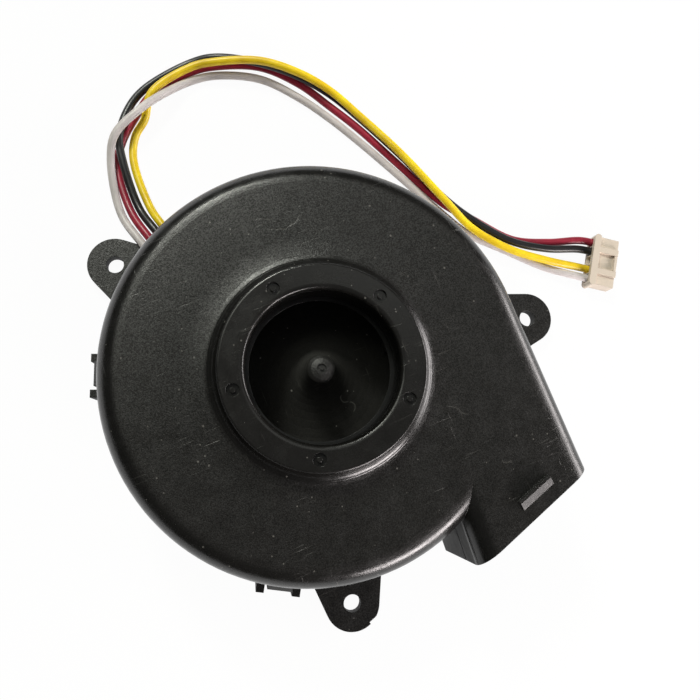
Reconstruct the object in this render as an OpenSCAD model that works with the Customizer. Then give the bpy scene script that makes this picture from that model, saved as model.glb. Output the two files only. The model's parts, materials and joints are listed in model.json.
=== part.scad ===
// Vacuum fan motor: a closed centrifugal impeller on a brushless outer-rotor motor inside a snail housing.
// Millimetres. Origin on the fan axis in the plane of the housing's underside, +Z towards the inlet,
// outlet duct along -Y.

/* [Housing] */
// Height of the housing from its underside to the flat roof
body_h = 24; // [23.5:0.5:26]
// Wall thickness of both housing halves
wall = 1.8; // [1.5:0.1:2]
// Radius of the third scroll quadrant, the one opposite the outlet
scroll_r = 35.9; // [35.6:0.1:38]
// Growth of the scroll radius from one quadrant to the next
scroll_step = 0.6; // [0.2:0.1:1]
// Height of the joint between the two housing halves
split_z = 15; // [14:0.5:15.5]
// Rounding of the roof's outer edge
rim_fillet = 4; // [3:0.5:5]
// Rounding of the underside's outer edge
foot_fillet = 1.5; // [0.5:0.5:1.5]
// Thickness of the floor
floor_t = 1.8; // [1.6:0.1:2]

/* [Inlet collar] */
// Radius of the inlet opening
inlet_r = 12.7; // [12.5:0.1:13]
// Outer radius of the raised collar
collar_r = 17.3; // [17:0.1:18]
// Height of the collar above the roof
collar_h = 3.5; // [3:0.5:5]
// Number of moulding dimples round the collar
dimple_count = 5; // [3:1:8]

/* [Outlet] */
// Outside width of the outlet duct
duct_w = 24.7; // [22:0.1:26]
// Slant of the outlet mouth
mouth_angle = 17; // [8:1:20]
// Length of the duct along its long wall, from the fan axis
mouth_far = 40.6; // [39.5:0.1:44]
// Angle at which the duct's short wall opens towards the mouth
duct_flare = 3.5; // [2:0.5:3.5]

/* [Ears] */
// Diameter of the screw holes in the ears
ear_hole_d = 3.3; // [2.8:0.1:3.6]
// Radius of the rounded end of an ear
ear_r = 5.2; // [4.5:0.1:5.6]
// Thickness of the ears
ear_t = 2.4; // [2:0.1:2.5]

/* [Clips] */
// Width of a latch tab
latch_w = 4.2; // [3.6:0.1:5]
// Reach of the clips' guard ribs beyond the housing wall
clip_reach = 2.6; // [2.3:0.1:3]

/* [Impeller] */
// Outer radius of the impeller
imp_r = 30.5; // [29.5:0.1:31]
// Number of blades
blade_count = 9; // [7:1:11]
// Blade thickness
blade_t = 1; // [0.8:0.1:1.2]
// Angle swept by a blade from its inner to its outer end
blade_sweep = 48; // [36:1:56]

/* [Motor] */
// Shaft diameter
shaft_d = 3; // [3:1:3]
// Number of stator teeth, a multiple of the three phases
tooth_count = 6; // [6:3:6]
// Air gap between the stator teeth and the magnet
air_gap = 0.5; // [0.4:0.05:0.6]
// Thickness of the stator core
core_h = 3; // [2.6:0.1:3]

/* [Leads and plug] */
// Outside diameter of a lead
lead_d = 1.6; // [1.4:0.1:1.7]
// Contact pitch of the plug
plug_pitch = 2; // [2:0.1:2.2]

/* [Hidden] */
$fn = 96;
eps = 0.01;

// Housing values derived from the sizes above
shift_x = -0.5;
lip_out = 1;
lip_h = 1.2;
lip_gap = 0.1;
seam_h = 0.3;
seam_deep = 0.4;
roof_t = wall;
roof_z = body_h - roof_t;
top_z = body_h + collar_h;
duct_x1 = shift_x + scroll_step / 2 + scroll_r + 2 * scroll_step;
duct_x0 = duct_x1 - duct_w;
duct_start = -scroll_step / 2;
duct_lap = 3;
slab_lap = 0.8;

// Quadrant 0 runs from +X to +Y. Each quadrant of the four-centre scroll has its own centre and radius.
scroll_c = [
    [shift_x + scroll_step / 2, -scroll_step / 2],
    [shift_x + scroll_step / 2, scroll_step / 2],
    [shift_x - scroll_step / 2, scroll_step / 2],
    [shift_x - scroll_step / 2, -scroll_step / 2]
];
scroll_rad = [scroll_r + 2 * scroll_step, scroll_r + scroll_step, scroll_r, scroll_r - scroll_step];

// Collar and inlet lip
collar_fillet = 2.2;
collar_edge = 0.5;
lip_round = 0.4;
nozzle_w = 1.4;
nozzle_drop = 0.3;
dimple_r = 1.1;
dimple_deep = 0.45;
dimple_nub_r = 0.45;
dimple_turn = 29.2;
dimple_circle = (inlet_r + lip_round + collar_r - collar_edge) / 2 + 0.1;

// Ears: angle about the fan axis, distance of the hole from it, flare of the two flanks
ears = [[127.1, 44.2], [-5.5, 47.2], [-101.6, 42.8]];
ear_flare = 15;
ear_root = 34;

// Clips: angle about the fan axis
clip_angles = [77.6, 158.4, 239.2];
clip_wall_y = -20;
guard_w = 1.4;
guard_gap = 0.35;
guard_z0 = 3.5;
guard_top = split_z - 2.5;
latch_t = 1;
latch_gap = 0.4;
latch_out = latch_gap + latch_t;
latch_z0 = 5;
latch_root = 1.8;
catch_z = latch_z0 + 1.6;
catch_h = 3.8;

// Barb on the roof of the duct that holds the outlet boot
barb_from = [22.1, -33.1];
barb_to = [28.8, -31.1];
barb_w = 1.9;
barb_flat = 0.5;
barb_h = 0.9;

// Impeller
tip_z = roof_z + 1.8;
tip_r = 2.5;
tip_dome = 1.4;
plate_top = 9.5;
plate_t = 1.2;
hub_flat_r = 27;
hub_t = 1.4;
eye_r = inlet_r - 0.6;
shroud_t = 1;
shroud_top = roof_z - nozzle_drop - 0.7;
shroud_drop = 5.6;
blade_r0 = eye_r + 1.6;
blade_r1 = imp_r - 0.3;
blade_arc_r = 24;

// Motor levels
tube_in_r = 4;
tube_r = 4.8;
tube_top = 12.9;
tube_seat_z = 1;
flange_r = 6.6;
flange_t = 0.5;
lower_bearing_z = 2.6;
upper_bearing_z = 8.4;
bearing_h = 4;
shoulder_r = 3.4;
core_z = 5.3;
insulator_t = 0.5;
coil_t = 0.8;
core_yoke_r = 6.4;
tooth_w = 2;
tip_t = 0.9;
tip_span = 42;
magnet_in_r = 9.9;
magnet_out_r = 11.2;
core_r = magnet_in_r - air_gap;
cup_r = 12;
cup_z0 = 4.4;
cup_top = 11;
cup_t = 0.8;
cup_hole_r = 6.2;
skirt_t = 1.2;
shaft_r = shaft_d / 2;
shaft_z0 = 1.2;
shaft_z1 = tip_z - 2.4;
boss_r = 3.2;
boss_z = 13;

// Bearing rings and balls
ring_in_r = 2.3;
ring_out_r = 3.2;
ball_r = 0.6;
ball_count = 7;
race_gap = 0.04;
ball_circle = (ring_in_r + ring_out_r) / 2;
shield_in_r = 2.6;
shield_t = 0.15;
cage_t = 0.3;
cage_h = 1.8;
cage_gap = 0.05;

// Driver board
board_z = 2.4;
board_t = 1;
board_top = board_z + board_t;
board_r = 20.5;
board_hole_r = 5.6;
post_angles = [30, 165, 285];
post_circle = 17.4;
post_r = 1.7;
pin_r = 0.9;

// Parts on the board: angles about the fan axis, distance from it, size
ic_angle = 215;
ic_circle = 16;
ic_size = [5, 5, 0.9];
hall_angles = [30, 90, 150];
hall_circle = 10;
hall_size = [1.5, 2.9, 0.7];
capacitor_angles = [240, 256, 192];
chip_circle = 16.6;
capacitor_size = [2.5, 3.2, 2];
resistor_angles = [310, 318, 326, 334, 342, 350];
resistor_size = [1.6, 0.8, 0.5];

// Colours
black_plastic = [0.13, 0.13, 0.13];
steel = [0.7, 0.71, 0.73];
brass_c = [0.78, 0.62, 0.3];
copper_c = [0.72, 0.38, 0.2];

// Leads: solder pad on the board, wall window, then along the bench to the plug
lead_turn = 110.5;
lead_z = 3.4;
window_y = [-0.25, 7.15];
window_z = [2.5, 4.3];
pad_r = 0.9;
pad_h = 0.25;
lead_r = lead_d / 2;
plug_at = [65.5, 2];
plug_turn = -34;
plug_l = 5.6;
plug_h = 3.6;
plug_ways = 5;
plug_w = (plug_ways - 1) * plug_pitch + 3.4;
plug_z = plug_h / 2;
plug_slots = [2, 1, -1, -2];
lead_end = 3;
lead_straight = 2.2;
pad_lift = board_top + pad_h + lead_d / 2;

// Point on a lead's run into its plug cavity, s along the plug from its rear face
function plug_point(slot, s) = [
    plug_at.x + s * cos(plug_turn) - slot * plug_pitch * sin(plug_turn),
    plug_at.y + s * sin(plug_turn) + slot * plug_pitch * cos(plug_turn),
    plug_z
];

// Routes on the bench, from the solder pad to just before the plug
red_route = [
    [-10.4, 15.3, pad_lift], [-16.7, 32.2, lead_z], [-18.9, 38.4, 3.2], [-20.2, 45, 1.6], [-19.3, 55, 0.8],
    [-16.6, 59.4, 0.8], [-12.2, 63.6, 0.8], [-7.8, 66.9, 0.8], [1.6, 69.1, 0.8], [6.8, 68.7, 0.8],
    [15.4, 65.7, 0.8], [21.8, 59.6, 0.8], [26, 53, 0.8], [29.9, 46.4, 0.8], [34.9, 36.3, 0.8],
    [40.8, 24.6, 0.8], [45.2, 19.6, 0.8], [51.8, 12.3, 0.8], [58.9, 8.9, 1.2]
];
black_route = [
    [-8.7, 16, pad_lift], [-15, 32.9, lead_z], [-17.2, 39.1, 3.2], [-18.5, 45, 1.6], [-18, 55.2, 2.3],
    [-17, 59.5, 2.5], [-13.2, 65, 1.8], [-8.5, 68.5, 1], [2, 70.9, 1], [7, 69.9, 2.2],
    [15.4, 65.6, 2.6], [22, 60.2, 2.6], [27, 55, 1.5], [31.1, 48.3, 0.9], [35.8, 37.4, 2.1],
    [41, 24.8, 2.5], [44.5, 19.1, 2.5], [50.8, 11.8, 2.3], [57.8, 7.5, 2.2]
];
yellow_route = [
    [-7, 16.6, pad_lift], [-13.3, 33.5, lead_z], [-15.6, 39.7, 3.2], [-16.5, 45, 1.6], [-16, 55, 0.9],
    [-13.9, 59.5, 0.9], [-11, 62, 1.4], [-7.8, 66.4, 2.5], [1.6, 69.2, 2.5], [6.6, 68.3, 3.4],
    [15.3, 65.2, 4.2], [22, 60, 4.3], [26.8, 55, 3.2], [30.8, 48, 2.6], [35.4, 37.2, 3.7],
    [40.2, 24.3, 4], [43.4, 17.5, 3], [49.6, 10.3, 2.6], [56.6, 5.1, 2.4]
];
white_route = [
    [-12.1, 14.7, pad_lift], [-18.4, 31.6, lead_z], [-20.6, 37.8, 3.3], [-22.1, 45, 1.9], [-20.1, 55.5, 2.8],
    [-17.6, 59.4, 4.3], [-12, 62.6, 4.2], [-7.3, 64.6, 3.4], [0.8, 67.2, 0.9], [6, 66.8, 0.8],
    [14.4, 63.2, 0.8], [20.8, 56.5, 0.8], [25, 50.4, 0.8], [28.7, 44, 0.8], [33.9, 34.1, 0.8],
    [39.1, 23.7, 0.8], [43, 17, 0.8], [49.4, 10.6, 0.8], [56.2, 4, 0.9]
];
function to_plug(route, slot) =
    concat(route, [plug_point(slot, -lead_straight), plug_point(slot, lead_end)]);

// Half section of a slab from the axis out to r, with a rounded top edge and a rounded bottom edge
module slab_section(r, z0, z1, top_f, foot_f) {
    translate([0, z0 + foot_f])
        square([r, z1 - z0 - top_f - foot_f]);
    if (top_f > 0) {
        translate([0, z1 - top_f - eps])
            square([r - top_f, top_f + eps]);
        translate([r - top_f, z1 - top_f])
            intersection() {
                circle(top_f);
                translate([-eps, -eps])
                    square(top_f + 1);
            }
    }
    if (foot_f > 0) {
        translate([0, z0])
            square([r - foot_f, foot_f + eps]);
        translate([r - foot_f, z0 + foot_f])
            intersection() {
                circle(foot_f);
                translate([-eps, -foot_f - 1])
                    square([foot_f + 1, foot_f + 1 + eps]);
            }
    }
}

// Scroll slab: four quarter revolves, each tangent to the next
module scroll(inset, z0, z1, top_f = 0, foot_f = 0) {
    for (q = [0:3])
        translate(scroll_c[q])
            rotate(90 * q)
                rotate_extrude(angle = 90, $fn = 128)
                    slab_section(scroll_rad[q] - inset, z0, z1, top_f, foot_f);
    translate([shift_x, 0, z0])
        cylinder(r = scroll_r / 3, h = z1 - z0);
}

// Duct slab: the same edge roundings on two straight bars, the long wall along -Y and the flared short wall
module duct(inset, z0, z1, top_f = 0, foot_f = 0) {
    half = duct_w / 2;
    translate([duct_x1 - half, duct_start, 0])
        rotate([90, 0, 0])
            linear_extrude(mouth_far + 12)
                slab_section(half - inset, z0, z1, top_f, foot_f);
    translate([duct_x0, -mouth_far, 0])
        rotate(-duct_flare)
            translate([half + duct_lap, mouth_far - duct_lap, 0])
                rotate([90, 0, 0])
                    linear_extrude(mouth_far + 9)
                        mirror([1, 0])
                            slab_section(half + duct_lap - inset, z0, z1, top_f, foot_f);
}

// Plan of the body: the scroll's four quadrants and the duct with its flared short wall
module outline(inset) {
    along = [sin(duct_flare), cos(duct_flare)];
    near = [duct_x0, -mouth_far] + inset * [cos(duct_flare), -sin(duct_flare)];
    rise = (mouth_far + duct_start + inset * sin(duct_flare)) / cos(duct_flare);
    for (q = [0:3])
        translate(scroll_c[q])
            rotate(90 * q)
                intersection() {
                    circle(scroll_rad[q] - inset, $fn = 128);
                    square(scroll_r + 10);
                }
    translate([shift_x, 0])
        circle(scroll_r / 3);
    polygon([[duct_x1 - inset, duct_start], [duct_x1 - inset, -mouth_far - 12], near - 12 * along,
        near + rise * along]);
}

// Slab of the body: the drawn plan where it ends flat, lapped with the rounded slabs where it ends round
module body_slab(inset, z0, z1, top_f = 0, foot_f = 0) {
    low = top_f > 0 ? z0 + slab_lap : z0;
    high = foot_f > 0 ? z1 - slab_lap : z1;
    from = foot_f > 0 ? high - slab_lap : z0;
    to = top_f > 0 ? low + slab_lap : z1;
    translate([0, 0, from])
        linear_extrude(to - from)
            outline(inset);
    if (top_f + foot_f > 0) {
        scroll(inset, low, high, top_f, foot_f);
        duct(inset, low, high, top_f, foot_f);
    }
}

// Everything beyond the slanted mouth
module mouth_cut() {
    translate([duct_x0, -mouth_far, -1])
        rotate(mouth_angle)
            translate([-20, -60, 0])
                cube([80, 60, top_z + 2]);
}

module collar_section() {
    difference() {
        union() {
            translate([inlet_r, roof_z - nozzle_drop])
                square([nozzle_w, top_z - lip_round - roof_z + nozzle_drop]);
            translate([inlet_r + lip_round, roof_z])
                square([collar_r - collar_edge - inlet_r - lip_round, top_z - roof_z]);
            translate([inlet_r + lip_round, top_z - lip_round])
                circle(lip_round);
            translate([inlet_r + nozzle_w - eps, roof_z])
                square([collar_r - inlet_r - nozzle_w + eps, top_z - collar_edge - roof_z]);
            translate([collar_r - collar_edge, top_z - collar_edge])
                circle(collar_edge);
            translate([collar_r - eps, body_h - eps])
                square(collar_fillet + eps);
        }
        translate([collar_r + collar_fillet, body_h + collar_fillet])
            circle(collar_fillet);
    }
}

module dimples() {
    for (i = [0:dimple_count - 1])
        rotate(dimple_turn + i * 360 / dimple_count)
            translate([dimple_circle, 0, top_z - dimple_deep])
                difference() {
                    cylinder(r = dimple_r, h = dimple_deep + 1, $fn = 32);
                    translate([0, 0, -eps])
                        cylinder(r = dimple_nub_r, h = dimple_deep * 0.8, $fn = 24);
                }
}

// Places its children on the outer wall, x outwards, at each clip
module at_clips() {
    for (a = clip_angles) {
        q = floor(a / 90);
        translate(scroll_c[q])
            rotate(a)
                translate([scroll_rad[q], 0, 0])
                    children();
    }
    translate([duct_x1, clip_wall_y, 0])
        children();
}

// Latch tab of the upper half: a bar with a window, hung from a sloped root
module latch() {
    difference() {
        translate([0, latch_w / 2, 0])
            rotate([90, 0, 0])
                linear_extrude(latch_w)
                    polygon([[latch_gap, latch_z0], [latch_out, latch_z0], [latch_out, split_z + 0.5],
                        [latch_out - latch_root, split_z + 0.5 + latch_root], [-0.6, split_z + 0.5 + latch_root],
                        [-0.6, split_z + 0.3], [latch_gap, split_z + 0.3]]);
        translate([-1, -latch_w / 2 + 0.8, catch_z - 0.4])
            cube([latch_out + 2, latch_w - 1.6, catch_h + 0.8]);
    }
}

// Guard ribs and ramped catch of the lower half
module guards() {
    for (s = [-1, 1])
        translate([-0.6, s * (latch_w / 2 + guard_gap + guard_w / 2) - guard_w / 2, guard_z0])
            cube([clip_reach + 0.6, guard_w, guard_top - guard_z0]);
    translate([0, latch_w / 2 - 1, 0])
        rotate([90, 0, 0])
            linear_extrude(latch_w - 2)
                polygon([[-0.6, catch_z], [0, catch_z], [latch_out - 0.3, catch_z + catch_h - 0.8],
                    [latch_out - 0.3, catch_z + catch_h], [-0.6, catch_z + catch_h]]);
}

module barb() {
    run = barb_to - barb_from;
    len = norm(run);
    translate([barb_from.x, barb_from.y, body_h])
        rotate(atan2(run.y, run.x))
            rotate([90, 0, 90])
                linear_extrude(len)
                    polygon([[-barb_w, -0.3], [-barb_w, 0], [-barb_flat, barb_h], [0, barb_h], [0, -0.3]]);
}

module upper_housing() color(black_plastic) {
    difference() {
        union() {
            difference() {
                union() {
                    difference() {
                        union() {
                            body_slab(0, split_z, body_h, rim_fillet, 0);
                            barb();
                        }
                        body_slab(wall, split_z - 1, roof_z, rim_fillet - wall, 0);
                    }
                    at_clips()
                        latch();
                }
                body_slab(lip_out - lip_gap, split_z - 1, split_z + lip_h + lip_gap);
                translate([0, 0, roof_z - 1])
                    cylinder(r = collar_r - 1, h = roof_t + 2);
            }
            rotate_extrude()
                collar_section();
        }
        dimples();
        mouth_cut();
    }
}

module ear_2d(r) {
    tx = ear_r * sin(ear_flare);
    ty = ear_r * cos(ear_flare);
    run = r - ear_root;
    wide = ty + (tx + run) * tan(ear_flare);
    circle(ear_r);
    polygon([[tx, ty], [-run, wide], [-run, -wide], [tx, -ty]]);
}

module lower_housing() color(black_plastic) {
    difference() {
        union() {
            body_slab(0, 0, split_z - seam_h, 0, foot_fillet);
            body_slab(seam_deep, split_z - 1, split_z);
            body_slab(lip_out, split_z - 1, split_z + lip_h);
            for (e = ears)
                rotate(e[0])
                    translate([e[1], 0, 0])
                        linear_extrude(ear_t)
                            ear_2d(e[1]);
            at_clips()
                guards();
        }
        body_slab(wall, floor_t, split_z + lip_h + 1);
        for (e = ears)
            rotate(e[0])
                translate([e[1], 0, -1])
                    cylinder(d = ear_hole_d, h = ear_t + 2, $fn = 48);
        translate([0, 0, tube_seat_z])
            cylinder(r = tube_r, h = floor_t);
        translate([0, 0, tube_seat_z - 0.3])
            cylinder(r = boss_r, h = floor_t);
        rotate(lead_turn)
            translate([25, window_y[0], window_z[0]])
                cube([20, window_y[1] - window_y[0], window_z[1] - window_z[0]]);
        mouth_cut();
    }
    for (a = post_angles)
        rotate(a)
            translate([post_circle, 0, floor_t - eps]) {
                cylinder(r = post_r, h = board_z - floor_t + eps, $fn = 32);
                cylinder(r = pin_r, h = board_top + 0.8 - floor_t, $fn = 32);
            }
}

// Hub curve: a quarter ellipse that leaves the tip upright and meets the back plate flat
hub_shoulder_z = tip_z - tip_dome;
skirt_r = cup_r + skirt_t;
function hub_point(t) = [hub_flat_r - (hub_flat_r - tip_r) * cos(t),
    hub_shoulder_z - (hub_shoulder_z - plate_top) * sin(t)];
function hub_angle(r) = acos((hub_flat_r - r) / (hub_flat_r - tip_r));
function shroud_under(t) = [imp_r - (imp_r - eye_r) * cos(t), shroud_top - shroud_drop * sin(t)];
function shroud_over(t) = [imp_r - (imp_r - eye_r - shroud_t) * cos(t),
    shroud_top - (shroud_drop - shroud_t) * sin(t)];
curve_steps = 18;

module hub_section() {
    skirt_turn = hub_angle(skirt_r);
    dome = [for (i = [0:4]) [tip_r * sin(i * 22.5), hub_shoulder_z + tip_dome * cos(i * 22.5)]];
    flare = [for (i = [1:curve_steps]) hub_point(i * 90 / curve_steps)];
    under = [for (i = [0:6]) hub_point(90 - i * (90 - skirt_turn) / 6) - [0, plate_t]];
    polygon(concat(dome, flare, [[imp_r, plate_top], [imp_r, plate_top - plate_t]], under, [
        [skirt_r, cup_top - 4.4], [cup_r, cup_top - 4.4], [cup_r, cup_top], [cup_hole_r, cup_top],
        [cup_hole_r, tube_top + 1], [boss_r, tube_top + 1], [boss_r, boss_z], [shaft_r, boss_z],
        [shaft_r, shaft_z1], [0, shaft_z1]]));
}

// Space between the hub and the shroud, taken a little into the hub so that the blades root in it
module passage_section() {
    root_turn = hub_angle(eye_r);
    low = [for (i = [0:8]) hub_point(root_turn + i * (90 - root_turn) / 8) - [0, 0.5]];
    high = [for (i = [0:curve_steps]) shroud_under(90 - i * 90 / curve_steps)];
    polygon(concat(low, [[imp_r + 1, plate_top - 0.5], [imp_r + 1, shroud_under(90).y]], high));
}

// One blade: a strip of a circle through its two ends, curved back from the turning direction
module blade_2d() {
    from = [blade_r0, 0];
    to = blade_r1 * [cos(blade_sweep), sin(blade_sweep)];
    mid = (from + to) / 2;
    run = to - from;
    rise = sqrt(blade_arc_r * blade_arc_r - run * run / 4);
    c = mid + rise * [-run.y, run.x] / norm(run);
    intersection() {
        translate(c)
            difference() {
                circle(blade_arc_r + blade_t / 2);
                circle(blade_arc_r - blade_t / 2);
            }
        difference() {
            circle(blade_r1);
            circle(blade_r0);
        }
        translate(c)
            rotate(atan2(mid.y - c.y, mid.x - c.x))
                translate([0, -2 * blade_arc_r])
                    square([2 * blade_arc_r, 4 * blade_arc_r]);
    }
}

module impeller() color([0.16, 0.16, 0.17]) {
    difference() {
        rotate_extrude()
            hub_section();
        translate([0, 0, tip_z - 0.4])
            difference() {
                cylinder(r = 0.8, h = 1, $fn = 32);
                translate([0, 0, -eps])
                    cylinder(r = 0.28, h = 0.35, $fn = 24);
            }
    }
    intersection() {
        for (i = [0:blade_count - 1])
            rotate(i * 360 / blade_count)
                translate([0, 0, plate_top - 1])
                    linear_extrude(shroud_top)
                        blade_2d();
        rotate_extrude()
            passage_section();
    }
}

module impeller_shroud() color([0.2, 0.2, 0.21])
    rotate_extrude()
        polygon(concat([for (i = [0:curve_steps]) shroud_under(i * 90 / curve_steps)],
            [for (i = [0:curve_steps]) shroud_over(90 - i * 90 / curve_steps)]));

module bearing_tube() color(brass_c)
    rotate_extrude()
        polygon([[tube_in_r, tube_seat_z], [tube_r, tube_seat_z], [tube_r, floor_t], [flange_r, floor_t],
            [flange_r, floor_t + flange_t], [tube_r, floor_t + flange_t], [tube_r, tube_top],
            [tube_in_r, tube_top], [tube_in_r, upper_bearing_z], [shoulder_r, upper_bearing_z],
            [shoulder_r, lower_bearing_z + bearing_h], [tube_in_r, lower_bearing_z + bearing_h]]);

module outer_ring(z) color(steel)
    translate([0, 0, z])
        rotate_extrude()
            difference() {
                translate([ring_out_r, 0])
                    square([tube_in_r - ring_out_r, bearing_h]);
                translate([ball_circle, bearing_h / 2])
                    circle(ball_r + race_gap, $fn = 48);
            }

module inner_ring(z) color(steel)
    translate([0, 0, z])
        rotate_extrude()
            difference() {
                translate([shaft_r, 0])
                    square([ring_in_r - shaft_r, bearing_h]);
                translate([ball_circle, bearing_h / 2])
                    circle(ball_r + race_gap, $fn = 48);
            }

module balls(z) color([0.85, 0.86, 0.88])
    for (i = [0:ball_count - 1])
        rotate(i * 360 / ball_count)
            translate([ball_circle, 0, z + bearing_h / 2])
                sphere(ball_r, $fn = 32);

module cage(z) color([0.8, 0.7, 0.45])
    difference() {
        translate([0, 0, z + (bearing_h - cage_h) / 2])
            difference() {
                cylinder(r = ball_circle + cage_t / 2, h = cage_h);
                translate([0, 0, -1])
                    cylinder(r = ball_circle - cage_t / 2, h = cage_h + 2);
            }
        for (i = [0:ball_count - 1])
            rotate(i * 360 / ball_count)
                translate([ball_circle - 1, 0, z + bearing_h / 2])
                    rotate([0, 90, 0])
                        cylinder(r = ball_r + cage_gap, h = 2, $fn = 32);
    }

module shields(z) color(steel)
    for (h = [0.12, bearing_h - 0.12 - shield_t])
        translate([0, 0, z + h])
            difference() {
                cylinder(r = ring_out_r, h = shield_t);
                translate([0, 0, -1])
                    cylinder(r = shield_in_r, h = shield_t + 2);
            }

module upper_outer_ring() outer_ring(upper_bearing_z);
module upper_inner_ring() inner_ring(upper_bearing_z);
module upper_balls() balls(upper_bearing_z);
module upper_cage() cage(upper_bearing_z);
module upper_shields() shields(upper_bearing_z);
module lower_outer_ring() outer_ring(lower_bearing_z);
module lower_inner_ring() inner_ring(lower_bearing_z);
module lower_balls() balls(lower_bearing_z);
module lower_cage() cage(lower_bearing_z);
module lower_shields() shields(lower_bearing_z);

module preload_washer() color(steel) {
    low = upper_bearing_z + bearing_h;
    rotate_extrude()
        polygon([[shaft_r + 0.05, boss_z - 0.2], [ring_in_r - 0.05, low], [ring_in_r - 0.05, low + 0.2],
            [shaft_r + 0.05, boss_z]]);
}

clip_z = lower_bearing_z - 0.4;
clip_groove_r = shaft_r - 0.4;
module shaft() color(steel)
    difference() {
        union() {
            translate([0, 0, shaft_z0])
                cylinder(r1 = shaft_r - 0.3, r2 = shaft_r, h = 0.3);
            translate([0, 0, shaft_z0 + 0.3])
                cylinder(r = shaft_r, h = shaft_z1 - shaft_z0 - 0.3);
        }
        translate([0, 0, clip_z])
            difference() {
                cylinder(r = shaft_r + 1, h = 0.4);
                translate([0, 0, -1])
                    cylinder(r = clip_groove_r, h = 3);
            }
    }

module shaft_clip() color(steel)
    translate([0, 0, clip_z])
        difference() {
            cylinder(r = ring_in_r - 0.1, h = 0.4);
            translate([0, 0, -1])
                cylinder(r = clip_groove_r, h = 3);
            translate([0, -clip_groove_r * 0.8, -1])
                cube([4, clip_groove_r * 1.6, 3]);
        }

module rotor_cup() color(steel)
    rotate_extrude()
        polygon([[magnet_out_r, cup_z0], [cup_r, cup_z0], [cup_r, cup_top], [cup_hole_r, cup_top],
            [cup_hole_r, cup_top - cup_t], [magnet_out_r, cup_top - cup_t]]);

module rotor_magnet() color([0.22, 0.21, 0.22])
    translate([0, 0, cup_z0 + 0.4])
        difference() {
            cylinder(r = magnet_out_r, h = cup_top - cup_t - cup_z0 - 0.4 - 0.8);
            translate([0, 0, -1])
                cylinder(r = magnet_in_r, h = 10);
        }

module core_2d() {
    difference() {
        union() {
            circle(core_yoke_r);
            for (i = [0:tooth_count - 1])
                rotate(i * 360 / tooth_count) {
                    translate([0, -tooth_w / 2])
                        square([core_r - tip_t / 2, tooth_w]);
                    intersection() {
                        difference() {
                            circle(core_r);
                            circle(core_r - tip_t);
                        }
                        polygon([[0, 0], 2 * core_r * [cos(tip_span / 2), sin(tip_span / 2)],
                            2 * core_r * [cos(tip_span / 2), -sin(tip_span / 2)]]);
                    }
                }
        }
        circle(tube_r);
    }
}

module stator_core() color([0.45, 0.47, 0.52])
    translate([0, 0, core_z])
        linear_extrude(core_h)
            core_2d();

module lower_insulator() color([0.92, 0.9, 0.84])
    translate([0, 0, core_z - insulator_t])
        linear_extrude(insulator_t)
            core_2d();

module upper_insulator() color([0.92, 0.9, 0.84])
    translate([0, 0, core_z + core_h])
        linear_extrude(insulator_t)
            core_2d();

// One coil round a tooth, its corners rounded by the wire's thickness
coil_from = core_yoke_r + 0.2;
coil_to = core_r - tip_t - 0.2;
module coil() {
    h = core_h + 2 * insulator_t;
    translate([coil_from, 0, core_z + core_h / 2])
        rotate([90, 0, 90])
            linear_extrude(coil_to - coil_from)
                difference() {
                    union() {
                        square([tooth_w + 2 * coil_t, h], center = true);
                        square([tooth_w, h + 2 * coil_t], center = true);
                        for (x = [-1, 1], y = [-1, 1])
                            translate([x * tooth_w / 2, y * h / 2])
                                circle(coil_t, $fn = 32);
                    }
                    square([tooth_w, h], center = true);
                }
}

module winding(phase) color(copper_c)
    for (i = [phase:3:tooth_count - 1])
        rotate(i * 360 / tooth_count)
            coil();

module winding_a() winding(0);
module winding_b() winding(1);
module winding_c() winding(2);

module driver_board() color([0.1, 0.3, 0.16])
    difference() {
        translate([0, 0, board_z])
            cylinder(r = board_r, h = board_t);
        translate([0, 0, board_z - 1])
            cylinder(r = board_hole_r, h = board_t + 2);
        for (a = post_angles)
            rotate(a)
                translate([post_circle, 0, board_z - 1])
                    cylinder(r = pin_r, h = board_t + 2, $fn = 32);
    }

// A part on the board: angle, distance from the axis, size
module chip(a, r, s)
    rotate(a)
        translate([r - s.x / 2, -s.y / 2, board_top])
            cube(s);

module driver_ic() color([0.12, 0.12, 0.12])
    chip(ic_angle, ic_circle, ic_size);

module hall_sensors() color([0.12, 0.12, 0.12])
    for (a = hall_angles)
        chip(a, hall_circle, hall_size);

module capacitors() color([0.72, 0.6, 0.42])
    for (a = capacitor_angles)
        chip(a, chip_circle, capacitor_size);

module resistors() color([0.1, 0.1, 0.11])
    for (a = resistor_angles)
        chip(a, chip_circle, resistor_size);

module lead_pads(r, h)
    for (p = [red_route[0], black_route[0], yellow_route[0], white_route[0]])
        translate([p.x, p.y, board_top])
            cylinder(r = r, h = h, $fn = 24);

module solder_joints() color([0.75, 0.76, 0.78])
    lead_pads(pad_r, pad_h);

// Round lead swept along its points, each ring square to the run
function unit(v) = v / norm(v);
function heading(p, i) = unit(p[min(i + 1, len(p) - 1)] - p[max(i - 1, 0)]);
function ring(p, i, r, n) = let (t = heading(p, i), s = unit(cross([0, 0, 1], t)), u = cross(t, s))
    [for (k = [0:n - 1]) p[i] + r * (cos(360 * k / n) * s + sin(360 * k / n) * u)];
module lead(p) {
    n = 8;
    m = len(p);
    last = (m - 1) * n;
    points = [for (i = [0:m - 1]) each ring(p, i, lead_r, n)];
    sides = [for (i = [0:m - 2], k = [0:n - 1], half = [0, 1])
        let (a = i * n + k, b = i * n + (k + 1) % n)
        half == 0 ? [a, a + n, b + n] : [a, b + n, b]];
    polyhedron(points, concat([[for (k = [0:n - 1]) k]], sides, [[for (k = [0:n - 1]) last + n - 1 - k]]));
}

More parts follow.
